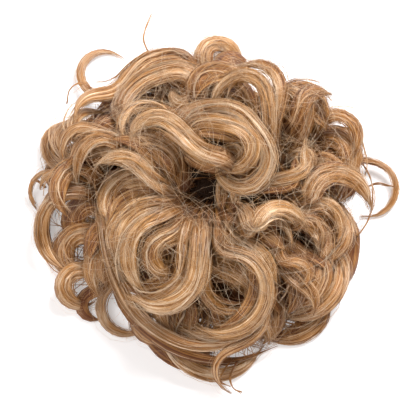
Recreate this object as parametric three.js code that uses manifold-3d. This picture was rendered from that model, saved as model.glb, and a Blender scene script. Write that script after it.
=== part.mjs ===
// A top knot hairpiece: curled locks of hair, sewn in three rows round an elastic band that the wearer's own
// knot goes through.
// Millimetres, +Z up. It lies crown up, and the origin is on the surface under the middle of its outline.
import * as THREE from "three";
import Module from "manifold-3d";

const wasm = await Module();
wasm.setup();

// Driving dimensions
const REACH = 85; // the middle of the band to the mean edge of the curls; the lock tables take shares of it
const BAND_RADIUS = 12.5; // to the middle of the elastic, and the hole in the core
const BAND_THICK = 5;
const BAND_HEIGHT = 8; // the middle of the elastic over the floor
const WEFT_WIDE = 6; // the sewn edge that holds a row of locks
const WEFT_TALL = 5;
const BASE_ROW = 53; // to the middle of each row's sewn edge
const MIDDLE_ROW = 37;
const CROWN_ROW = 17.5;
const BASE_STEP = 8; // the core's height under each row
const MIDDLE_STEP = 19;
const CROWN_STEP = 29;
const SHELL = 4; // the thickness of the core over its hollow underside, and of the wrap round the band
const GAP = 0.4; // between pieces that touch
const FLATNESS = 0.42; // a lock's thickness over its width
const THINNEST = 1.5; // of a lock, away from its tip
const LOCK_BEND = 30; // the tightest radius in which a lock bends down over what it lies on
const ROOT_RUN = 14; // the length in which a lock rises from its sewn edge onto the pile
const SINK = 0.3; // how far a lock settles into those under it, over its thickness

// Shapes that every lock shares
const BANK = 14; // degrees by which a curl's outer edge is lower than its inner edge
const ROOT_SHARE = 0.7; // a lock's width at its root and at its tip, over its full width
const TIP_SHARE = 0.35;
const FULL_FROM = 0.22; // the stretch of full width, in shares of the length
const FULL_TO = 0.68;
const TIGHTEST = 0.8; // half of the width, at most, over the radius of the bend

// Fineness
const PATH_STEP = 1.5; // mm between the points of a lock's route
const TURN_STEP = 31; // degrees that a lock may turn between two of its sections
const RUN_STEP = 13; // mm between two sections at most
const ARC_STEP = 30; // degrees between the guide points on a curl
const RING_SIDES = 28;
const BAND_SIDES = 8;
const TIDY = 0.05; // mm, under which a cut leaves no edge
const PILE_CELL = 2; // mm, and the cells from the middle to the edge of the grid
const PILE_CELLS = 75;

// The locks, in the order in which they lie on each other.
// root: where the lock is sewn in, in degrees round the band.
// eyeX, eyeY, size: the middle and the radius of its curl, in shares of REACH.
// from, sweep: where on that circle it joins the curl and how far it winds, in degrees, clockwise below 0.
// close: the curl's last radius over its first.
// wide: the lock's width, and loft: how far it arches up, both in shares of REACH.
// via: points between the root and the curl, in shares of REACH.
const COLUMNS = ["name", "root", "eyeX", "eyeY", "size", "from", "sweep", "close", "wide", "loft", "via"];
const BASE_LOCKS = [
  ["upper left free loop", 142, -0.655, 0.745, 0.16, -70, -250, 1.0, 0.053, 0.06],
  ["left ringlet outer turn", 168, -0.85, 0.295, 0.153, -115, -175, 1.0, 0.095, 0.06],
  ["left ringlet middle turn", 163, -0.775, 0.3, 0.155, -120, -165, 1.0, 0.088, 0.1],
  ["left ringlet inner turn", 158, -0.685, 0.34, 0.15, -150, -140, 1.0, 0.08, 0.12],
  ["left thin loop", 176, -0.99, 0.0, 0.118, 55, 190, 1.0, 0.037, 0.04],
  ["left small hook", 180, -0.95, 0.02, 0.08, 20, 180, 1.0, 0.071, 0.04],
  ["left barrel inside", 200, -0.78, -0.38, 0.14, 40, 235, 0.85, 0.17, 0.03],
  ["left barrel edge", 188, -0.8, -0.265, 0.225, 80, 175, 1.0, 0.1, 0.05],
  ["lower left roll", 208, -0.79, -0.575, 0.1, 55, 265, 1.15, 0.125, 0.04],
  ["lower left ring", 217, -0.515, -0.69, 0.147, 60, 265, 1.15, 0.07, 0.05],
  ["bottom ring inside", 250, -0.06, -0.86, 0.11, 120, 180, 1.0, 0.108, 0.02],
  ["bottom ring", 255, -0.03, -0.79, 0.23, 165, 175, 1.55, 0.095, 0.04],
  ["lower right edge", 312, 0.42, -0.62, 0.27, -20, -100, 1.0, 0.088, 0.02],
  ["right lower sweep", 330, 0.48, -0.47, 0.29, 15, -125, 1.0, 0.121, 0.05],
  ["right edge", 352, 0.58, -0.25, 0.215, 55, -125, 1.0, 0.1, 0.05],
  ["right free loop", 15, 0.94, 0.03, 0.17, 105, -215, 1.0, 0.044, 0.06],
  ["right ball inside", 22, 0.67, 0.17, 0.165, 100, -150, 1.0, 0.17, 0.04],
  ["right ball edge", 20, 0.725, 0.275, 0.147, 200, -240, 1.0, 0.095, 0.08],
  ["left edge fill", 182, -0.74, -0.06, 0.18, 90, 140, 1.0, 0.14, 0.02],
  ["lower left fill", 226, -0.52, -0.52, 0.2, 70, 150, 1.0, 0.15, 0.02],
  ["bottom left fill", 242, -0.28, -0.76, 0.16, 80, 200, 1.0, 0.15, 0.02],
  ["bottom right fill", 288, 0.2, -0.76, 0.18, 110, -170, 1.0, 0.14, 0.02],
  ["upper left fill", 128, -0.45, 0.55, 0.18, 20, 130, 1.0, 0.14, 0.02],
  ["upper right fill", 38, 0.5, 0.3, 0.17, 120, -115, 1.0, 0.15, 0.02],
  ["right fill", 358, 0.62, 0.02, 0.15, 110, -150, 1.0, 0.14, 0.02],
  ["lower right fill", 318, 0.45, -0.5, 0.2, 20, -110, 1.0, 0.15, 0.02],
  ["upper right arch", 52, 0.46, 0.35, 0.23, 105, -100, 1.0, 0.075, 0.05],
  ["top roll", 92, 0.045, 0.81, 0.115, 210, -240, 1.0, 0.135, 0.1],
  ["upper left outer arch", 100, -0.66, 0.4, 0.16, 75, 120, 1.0, 0.115, 0.05, [[-0.16, 0.8], [-0.38, 0.79]]],
];
const MIDDLE_LOCKS = [
  ["front left fill", 222, -0.44, -0.52, 0.2, 60, 150, 1.0, 0.16, 0.0],
  ["front fill", 258, -0.12, -0.7, 0.2, 80, 150, 1.0, 0.16, 0.0],
  ["front right fill", 292, 0.3, -0.62, 0.2, 110, -160, 1.0, 0.16, 0.0],
  ["right front fill", 328, 0.5, -0.36, 0.16, 130, -170, 1.0, 0.15, 0.0],
  ["left fill", 158, -0.65, 0.07, 0.18, 95, 80, 1.0, 0.17, 0.0],
  ["left loop", 150, -0.77, 0.19, 0.125, 50, 165, 1.0, 0.08, 0.03],
  ["left arch", 162, -0.606, 0.04, 0.2, 100, 95, 1.0, 0.08, 0.04],
  ["upper left spiral", 146, -0.19, 0.57, 0.135, 115, -420, 0.3, 0.135, 0.04, [[-0.55, 0.45], [-0.44, 0.62]]],
  ["upper right band", 20, 0.4, 0.41, 0.147, -20, 110, 1.0, 0.121, 0.03, [[0.46, 0.22]]],
  ["upper right long wave", 8, 0.205, 0.526, 0.19, -10, 135, 1.0, 0.088, 0.05, [[0.36, 0.26]]],
  ["upper right drop", 34, 0.62, 0.4, 0.12, 200, -150, 1.0, 0.12, 0.03],
  ["upper fill", 100, 0.03, 0.53, 0.16, 150, -160, 1.0, 0.15, 0.0],
  ["right short hook", 12, 0.52, 0.097, 0.08, 170, -180, 1.0, 0.108, 0.03],
  ["right small fill", 310, 0.5, -0.71, 0.105, 80, -120, 1.0, 0.108, 0.02],
  ["right lower arch", 348, 0.62, -0.255, 0.14, 190, -230, 1.0, 0.128, 0.03],
  ["right upper arch", 355, 0.735, -0.14, 0.18, 185, -185, 1.15, 0.135, 0.05],
  ["right inner arch", 340, 0.55, -0.33, 0.105, 170, -215, 1.0, 0.081, 0.03],
  ["right lower hook", 322, 0.49, -0.56, 0.09, 150, -230, 0.8, 0.088, 0.03],
  ["front small hook", 295, 0.25, -0.885, 0.09, 80, -110, 1.0, 0.081, 0.02],
  ["front sweep", 300, 0.0, -0.59, 0.31, -10, -120, 1.0, 0.142, 0.03],
  ["left long wave", 176, -0.01, -0.37, 0.59, 200, 100, 1.0, 0.08, 0.02, [[-0.6, 0.08], [-0.65, -0.15]]],
  ["front tail", 290, 0.12, -1.1, 0.12, 90, 175, 1.0, 0.055, 0.02, [[0.3, -0.85]]],
];
const CROWN_LOCKS = [
  ["upper right loop", 5, 0.147, 0.45, 0.17, 0, 200, 0.9, 0.105, 0.05, [[0.32, 0.17]]],
  ["left under fan", 190, -0.44, -0.15, 0.19, 110, 105, 1.0, 0.162, 0.0],
  ["left fan", 205, -0.34, -0.386, 0.235, 80, 125, 1.0, 0.17, 0.03],
  ["left ball fill", 226, -0.3, -0.62, 0.2, 95, 75, 1.0, 0.15, 0.0],
  ["left inner ball", 235, -0.265, -0.474, 0.125, 70, 260, 0.5, 0.125, 0.03],
  ["left crescent", 215, -0.265, -0.46, 0.235, 95, 145, 1.0, 0.115, 0.04],
  ["front inner fan", 272, -0.02, -0.75, 0.265, 90, -75, 1.0, 0.16, 0.02],
  ["front inner diagonal", 276, 0.06, -0.7, 0.32, 80, -65, 1.0, 0.15, 0.02],
  ["front ring left side", 264, 0.1, -0.61, 0.165, 150, 160, 1.0, 0.071, 0.04],
  ["front ring", 278, 0.077, -0.665, 0.218, 100, -240, 1.15, 0.09, 0.05],
  ["front under swirl", 242, -0.36, -0.5, 0.22, 20, -150, 1.0, 0.13, 0.02],
  ["front long lock", 252, -0.3, -0.55, 0.22, 10, -150, 1.0, 0.12, 0.04],
  ["right arch", 310, 0.33, -0.365, 0.13, 200, -220, 1.0, 0.075, 0.06],
  ["well strand right", 295, 0.32, -0.12, 0.2, 195, -65, 1.0, 0.06, 0.03],
  ["well strand middle", 282, 0.23, -0.1, 0.2, 205, -80, 1.0, 0.045, 0.02],
  ["left lower bridge", 203, -0.56, -0.09, 0.212, 20, 110, 1.0, 0.111, 0.04],
  ["left upper bridge", 190, -0.47, -0.033, 0.28, 20, 80, 1.0, 0.159, 0.05],
  ["right bundle", 355, 0.72, 0.16, 0.2, 215, -60, 1.0, 0.08, 0.02],
  ["right under arch", 325, 0.4, -0.35, 0.16, 190, -170, 1.0, 0.12, 0.02],
  ["left eye arch", 125, -0.38, 0.3, 0.16, 60, 155, 1.0, 0.071, 0.05],
  ["crown spiral", 115, 0.159, 0.087, 0.18, 62, -300, 0.72, 0.11, 0.04,
    [[-0.2, 0.33], [-0.1, 0.43], [0.06, 0.42], [0.19, 0.345]]],
  ["crown eye curl", 78, 0.1, 0.11, 0.09, 140, -330, 0.6, 0.055, 0.1],
  ["crown inner wave", 105, 0.12, 0.12, 0.12, 55, -220, 0.8, 0.11, 0.06,
    [[-0.19, 0.25], [-0.11, 0.31], [0.0, 0.29], [0.1, 0.26]]],
  ["crown wave", 15, -0.353, 0.214, 0.135, 60, 130, 1.0, 0.13, 0.06, [[-0.04, 0.096], [-0.16, 0.214]]],
];

const { degToRad, lerp, smoothstep } = THREE.MathUtils;
const asRows = (table) => table.map((row) => Object.fromEntries(COLUMNS.map((column, i) => [column, row[i]])));
const onCircle = (x, y, radius, degrees) =>
  new THREE.Vector3(x + radius * Math.cos(degToRad(degrees)), y + radius * Math.sin(degToRad(degrees)), 0);

// A closed three.js geometry as a solid that can be joined and cut.
function solidOf(positions, triangles) {
  return new wasm.Manifold(
    new wasm.Mesh({
      numProp: 3,
      vertProperties: new Float32Array(positions),
      triVerts: new Uint32Array(triangles),
    }),
  );
}

function geometryOf(solid) {
  const mesh = solid.getMesh();
  return new THREE.BufferGeometry()
    .setAttribute("position", new THREE.BufferAttribute(mesh.vertProperties, 3))
    .setIndex(new THREE.BufferAttribute(mesh.triVerts, 1));
}

// A ring about the Z axis from its closed profile, a list of [radius, height] that runs counter-clockwise.
function turned(profile) {
  const positions = [];
  const triangles = [];
  const count = profile.length;
  for (let side = 0; side < RING_SIDES; side++) {
    for (const [radius, height] of profile) {
      const at = onCircle(0, 0, radius, (360 * side) / RING_SIDES);
      positions.push(at.x, at.y, height);
    }
    for (let i = 0; i < count; i++) {
      const here = side * count;
      const next = ((side + 1) % RING_SIDES) * count;
      const j = (i + 1) % count;
      triangles.push(here + i, next + i, next + j, here + i, next + j, here + j);
    }
  }
  return solidOf(positions, triangles);
}

// What lies so far, as the height of its upper side in each cell of a square grid.
class Pile {
  heights = new Float32Array((2 * PILE_CELLS + 1) ** 2);

  cell(x, y) {
    const row = Math.round(y / PILE_CELL) + PILE_CELLS;
    return row * (2 * PILE_CELLS + 1) + Math.round(x / PILE_CELL) + PILE_CELLS;
  }

  at(x, y) {
    return this.heights[this.cell(x, y)];
  }

  raise(x, y, height) {
    const cell = this.cell(x, y);
    this.heights[cell] = Math.max(this.heights[cell], height);
  }

  raiseUnder(profile) {
    for (let i = -PILE_CELLS; i <= PILE_CELLS; i++) {
      for (let j = -PILE_CELLS; j <= PILE_CELLS; j++) {
        const [x, y] = [i * PILE_CELL, j * PILE_CELL];
        this.raise(x, y, heightOf(profile, Math.hypot(x, y)));
      }
    }
  }
}

// The height of a stepped profile's upper side at a radius.
function heightOf(profile, radius) {
  let height = 0;
  for (let i = 0; i < profile.length; i++) {
    const [r0, z0] = profile[i];
    const [r1, z1] = profile[(i + 1) % profile.length];
    if (radius >= Math.min(r0, r1) && radius <= Math.max(r0, r1) && r0 !== r1) {
      height = Math.max(height, lerp(z0, z1, (radius - r0) / (r1 - r0)));
    }
  }
  return height;
}

// A row of points with each at the mean of those around it, which takes kinks out of it.
function evened(points) {
  return points.map((_, i) => {
    const reach = Math.min(3, i, points.length - 1 - i);
    const near = points.slice(i - reach, i + reach + 1);
    return near.reduce((sum, point) => sum.add(point), new THREE.Vector3()).divideScalar(near.length);
  });
}

// A lock's route in plan: evenly spaced points, each with its share of the length, its width and its bank.
function routeOf(lock, rowRadius) {
  const guides = [onCircle(0, 0, rowRadius, lock.root)];
  for (const [x, y] of lock.via ?? []) {
    guides.push(new THREE.Vector3(x * REACH, y * REACH, 0));
  }
  const steps = Math.ceil(Math.abs(lock.sweep) / ARC_STEP);
  for (let i = 0; i <= steps; i++) {
    const radius = lock.size * REACH * lerp(1, lock.close, i / steps);
    guides.push(onCircle(lock.eyeX * REACH, lock.eyeY * REACH, radius, lock.from + (lock.sweep * i) / steps));
  }
  const curve = new THREE.CatmullRomCurve3(guides, false, "centripetal");
  const count = Math.round(curve.getLength() / PATH_STEP);
  const points = evened(evened(curve.getSpacedPoints(count)));
  return points.map((point, i) => {
    const share = i / count;
    const before = points[Math.max(i - 3, 0)];
    const after = points[Math.min(i + 3, count)];
    const ahead = after.clone().sub(before).normalize();
    const into = point.clone().sub(before).normalize();
    const out = after.clone().sub(point).normalize();
    const inside = i > 2 && i < count - 2;
    const bend = inside ? (2 * (into.x * out.y - into.y * out.x)) / after.distanceTo(before) : 0;
    const grown = lerp(ROOT_SHARE, 1, smoothstep(share, 0, FULL_FROM));
    const tapered = lerp(1, TIP_SHARE, smoothstep(share, FULL_TO, 1));
    const widest = (2 * TIGHTEST) / Math.max(Math.abs(bend), 0.001);
    const wide = Math.min(lock.wide * REACH * grown * tapered, widest);
    const thick = Math.max(wide * FLATNESS, Math.min(THINNEST, 0.8 * wide));
    const bank = degToRad(BANK) * Math.sign(lock.sweep) * smoothstep(share, 0, FULL_FROM);
    return { point, share, ahead, side: new THREE.Vector3(ahead.y, -ahead.x, 0), wide, thick, bank };
  });
}

// Lifts a lock's route onto the pile, and then adds the lock to the pile.
function drape(route, pile, rootHeight, loft) {
  const rests = route.map(({ point, side, wide, thick, bank }) => {
    const half = Math.hypot((thick / 2) * Math.cos(bank), (wide / 2) * Math.sin(bank)) + GAP / 2;
    let under = 0;
    for (const share of [-0.4, -0.2, 0, 0.2, 0.4]) {
      under = Math.max(under, pile.at(point.x + side.x * wide * share, point.y + side.y * wide * share));
    }
    return { half, height: under > 0 ? under + half - SINK * thick : half };
  });
  const spanned = rests.map((_, i) =>
    Math.max(...rests.map(({ height }, j) => height - ((i - j) * PATH_STEP) ** 2 / (2 * LOCK_BEND))),
  );
  route.forEach(({ point, share }, i) => {
    const near = spanned.slice(Math.max(i - 3, 0), i + 4);
    const even = near.reduce((sum, height) => sum + height, 0) / near.length;
    const arched = even + loft * REACH * Math.sin(Math.PI * share) ** 2;
    point.z = Math.max(lerp(rootHeight, arched, smoothstep(i * PATH_STEP, 0, ROOT_RUN)), rests[i].half);
  });
  for (const { point, side, wide, thick } of route) {
    for (let share = -0.5; share <= 0.5; share += 0.125) {
      const top = point.z + (thick / 2) * Math.min(1, 2 - 4 * Math.abs(share));
      pile.raise(point.x + side.x * wide * share, point.y + side.y * wide * share, top);
    }
  }
}

// The six corners of a lock's section at a point of its route, each of them moved out by a margin.
function sectionAt(route, i, margin) {
  const { point, side, wide, thick, bank } = route[i];
  const before = route[Math.max(i - 1, 0)].point;
  const after = route[Math.min(i + 1, route.length - 1)].point;
  const ahead = after.clone().sub(before).normalize();
  const up = side.clone().cross(ahead).normalize().applyAxisAngle(ahead, bank);
  const across = up.clone().cross(ahead).normalize();
  const [x, y] = [wide / 2 + 1.3 * margin, thick / 2 + margin];
  const beyond = i === 0 ? -margin : i === route.length - 1 ? margin : 0;
  const middle = point.clone().addScaledVector(ahead, beyond);
  const corners = [[x, 0], [x * 0.55, y], [-x * 0.55, y], [-x, 0], [-x * 0.55, -y], [x * 0.55, -y]];
  return corners.map(([u, v]) => middle.clone().addScaledVector(across, u).addScaledVector(up, v));
}

// A lock as a solid, joined from runs that turn less than half way round, so that no run crosses itself.
function lockSolid(route, margin) {
  const stops = [0];
  let turn = 0;
  for (let i = 1; i < route.length; i++) {
    turn += (route[i].ahead.angleTo(route[i - 1].ahead) * 180) / Math.PI;
    const far = (i - stops.at(-1)) * PATH_STEP;
    if (turn >= TURN_STEP || far >= RUN_STEP) {
      stops.push(i);
      turn = 0;
    }
  }
  if (route.length - 1 - stops.at(-1) < 2 && stops.length > 2) {
    stops.pop();
  }
  stops.push(route.length - 1);
  const sections = stops.map((i) => sectionAt(route, i, margin));
  let solid;
  for (let first = 0; first < sections.length - 1; first += 5) {
    const run = swept(sections.slice(first, first + 6));
    solid = solid ? solid.add(run) : run;
  }
  return solid;
}

function swept(sections) {
  const sides = sections[0].length;
  const positions = sections.flatMap((corners) => corners.flatMap((corner) => corner.toArray()));
  const triangles = [];
  for (let i = 0; i < sections.length - 1; i++) {
    for (let j = 0; j < sides; j++) {
      const [a, b] = [i * sides + j, i * sides + ((j + 1) % sides)];
      triangles.push(a, b, b + sides, a, b + sides, a + sides);
    }
  }
  const last = (sections.length - 1) * sides;
  for (let j = 1; j < sides - 1; j++) {
    triangles.push(0, j + 1, j, last, last + j, last + j + 1);
  }
  return solidOf(positions, triangles);
}

const EDGE = WEFT_WIDE / 2;
const WRAP_RADIUS = BAND_RADIUS + BAND_THICK / 2 + GAP + SHELL;

// The outline of wrap and core together, moved out by a margin: from the hole outwards, and back over the
// three steps.
function stepsProfile(margin) {
  return [
    [BAND_RADIUS - margin, -margin],
    [BASE_ROW + EDGE + margin, -margin],
    [BASE_ROW + EDGE + margin, BASE_STEP + margin],
    [BASE_ROW - EDGE - GAP + margin, BASE_STEP + margin],
    [MIDDLE_ROW + EDGE + margin, MIDDLE_STEP + margin],
    [MIDDLE_ROW - EDGE - GAP + margin, MIDDLE_STEP + margin],
    [CROWN_ROW + EDGE + margin, CROWN_STEP + margin],
    [BAND_RADIUS - margin, CROWN_STEP + margin],
  ];
}

// The core is a hollow dome. Its underside follows the three steps.
function coreProfile() {
  return [
    [WRAP_RADIUS + GAP, CROWN_STEP - SHELL],
    [MIDDLE_ROW - EDGE - SHELL / 2, MIDDLE_STEP - SHELL],
    [MIDDLE_ROW + EDGE - SHELL / 2, MIDDLE_STEP - SHELL],
    [BASE_ROW - EDGE - SHELL / 2, BASE_STEP - SHELL],
    [BASE_ROW + EDGE - SHELL, BASE_STEP - SHELL],
    [BASE_ROW + EDGE - SHELL, 0],
    ...stepsProfile(0).slice(1, -1),
    [WRAP_RADIUS + GAP, CROWN_STEP],
  ];
}

// The wrap stands in the dome, with the band in a groove round its hole.
function wrapProfile() {
  const groove = BAND_THICK / 2 + GAP;
  return [
    [BAND_RADIUS, 0],
    [WRAP_RADIUS, 0],
    [WRAP_RADIUS, CROWN_STEP],
    [BAND_RADIUS, CROWN_STEP],
    [BAND_RADIUS, BAND_HEIGHT + groove],
    [BAND_RADIUS + groove, BAND_HEIGHT + groove],
    [BAND_RADIUS + groove, BAND_HEIGHT - groove],
    [BAND_RADIUS, BAND_HEIGHT - groove],
  ];
}

function weftProfile(radius, step, margin) {
  const [inner, outer] = [radius - EDGE - margin, radius + EDGE + margin];
  const [bottom, top] = [step + GAP - margin, step + GAP + WEFT_TALL + margin];
  return [
    [inner, bottom],
    [outer, bottom],
    [outer, top],
    [inner, top],
  ];
}

const pile = new Pile();
pile.raiseUnder(stepsProfile(0));

// A row of locks with its sewn edge, cut clear of all that lies under it.
function rowOf(table, radius, step, under) {
  pile.raiseUnder(weftProfile(radius, step, 0));
  let solid = turned(weftProfile(radius, step, 0));
  let grown = turned(weftProfile(radius, step, GAP));
  for (const lock of asRows(table)) {
    const route = routeOf(lock, radius);
    drape(route, pile, step + GAP + WEFT_TALL / 2, lock.loft);
    solid = solid.add(lockSolid(route, 0));
    grown = grown.add(lockSolid(route, GAP));
  }
  const pieces = solid.subtract(under).simplify(TIDY).decompose();
  pieces.sort((a, b) => b.volume() - a.volume());
  return { solid: pieces[0], grown: grown.add(under) };
}

const bandProfile = [];
for (let i = 0; i < BAND_SIDES; i++) {
  const at = onCircle(BAND_RADIUS, BAND_HEIGHT, BAND_THICK / 2, (360 * (i + 0.5)) / BAND_SIDES);
  bandProfile.push([at.x, at.y]);
}

const base = rowOf(BASE_LOCKS, BASE_ROW, BASE_STEP, turned(stepsProfile(GAP)));
const middle = rowOf(MIDDLE_LOCKS, MIDDLE_ROW, MIDDLE_STEP, base.grown);
const crown = rowOf(CROWN_LOCKS, CROWN_ROW, CROWN_STEP, middle.grown);

const PIECES = [
  ["elastic_band", turned(bandProfile), 0x3a2c22],
  ["root_wrap", turned(wrapProfile()), 0x4a3020],
  ["gathered_core", turned(coreProfile()), 0x5a3a22],
  ["outer_curls", base.solid, 0xc8965c],
  ["middle_curls", middle.solid, 0xb98850],
  ["crown_curls", crown.solid, 0xd9ae78],
];

const hairpiece = new THREE.Group();
hairpiece.name = "top_knot_hairpiece";
for (const [name, solid, color] of PIECES) {
  const mesh = new THREE.Mesh(geometryOf(solid), new THREE.MeshStandardMaterial({ color, roughness: 0.6 }));
  mesh.name = name;
  hairpiece.add(mesh);
}
const box = new THREE.Box3().setFromObject(hairpiece);
const middleOf = box.getCenter(new THREE.Vector3());
for (const mesh of hairpiece.children) {
  mesh.geometry.translate(-middleOf.x, -middleOf.y, -box.min.z);
}

export default hairpiece;
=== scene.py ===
# %% [markdown]
# # A top knot hairpiece
#
# The real thing is hair and nothing but hair: three rows of curled locks, sewn round an elastic band and
# fluffed up until they cover it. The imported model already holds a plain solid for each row. This notebook
# dresses those solids in hair. Every lock is laid out again from the same table of curls, and then filled
# with single hairs. A particle system could grow hair too, but hairs from a table stay exactly on their
# lock, and they are real meshes that any program can open.

import math

import bpy
import numpy as np
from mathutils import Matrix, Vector


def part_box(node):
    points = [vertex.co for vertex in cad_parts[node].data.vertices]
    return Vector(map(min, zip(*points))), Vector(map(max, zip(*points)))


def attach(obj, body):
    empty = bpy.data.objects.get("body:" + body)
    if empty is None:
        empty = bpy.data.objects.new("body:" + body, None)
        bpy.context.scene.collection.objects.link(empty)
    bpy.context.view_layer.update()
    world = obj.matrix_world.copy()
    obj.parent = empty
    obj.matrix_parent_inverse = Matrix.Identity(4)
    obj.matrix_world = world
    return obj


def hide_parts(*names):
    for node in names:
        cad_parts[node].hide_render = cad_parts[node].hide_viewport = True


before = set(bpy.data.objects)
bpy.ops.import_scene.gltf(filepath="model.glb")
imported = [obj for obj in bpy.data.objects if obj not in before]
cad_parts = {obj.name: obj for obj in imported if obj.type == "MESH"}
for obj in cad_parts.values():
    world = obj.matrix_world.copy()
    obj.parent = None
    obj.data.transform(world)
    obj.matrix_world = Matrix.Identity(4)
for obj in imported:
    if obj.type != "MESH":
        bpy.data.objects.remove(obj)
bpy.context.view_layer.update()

# %% [markdown]
# ## The sizes
#
# These are the maker's sizes of the hairpiece, in metres. Everything below takes its shares of them. The
# middle of the band isn't the middle of the outline, because the curls reach further to one side, so it is
# measured from the band itself.

# %% Name the sizes
REACH = 0.085
BAND_RADIUS = 0.0125
BAND_THICK = 0.005
SHELL = 0.004
WEFT_WIDE = 0.006
WEFT_TALL = 0.005
GAP = 0.0004
FLATNESS = 0.42
THINNEST = 0.0015
LOCK_BEND = 0.030
ROOT_RUN = 0.014
SINK = 0.3
BANK = math.radians(14)
ROOT_SHARE = 0.7
TIP_SHARE = 0.35
FULL_FROM = 0.22
FULL_TO = 0.68
TIGHTEST = 0.8
PATH_STEP = 0.0015
ARC_STEP = 30
PILE_CELL = 0.002
PILE_CELLS = 75

# The three rows: to the middle of the sewn edge, and the height of the step under it.
ROWS = {
    "outer_curls": (0.053, 0.008),
    "middle_curls": (0.037, 0.019),
    "crown_curls": (0.0175, 0.029),
}

low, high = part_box("elastic_band")
MIDDLE = np.array([(low[0] + high[0]) / 2, (low[1] + high[1]) / 2, 0.0])
print("The middle of the band:", MIDDLE.round(4))

# %% [markdown]
# ## The table of locks
#
# A curl lies flat like a watch spring, so a few numbers say where it goes: where it is sewn in, the eye
# that it winds round, how far it winds, and how wide it is. The order is the order in which the locks lie
# on each other. Angles are in degrees, and lengths are shares of REACH. Drawing each lock by hand as a
# curve would give the same shapes, but no one could change them afterwards.

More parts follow.
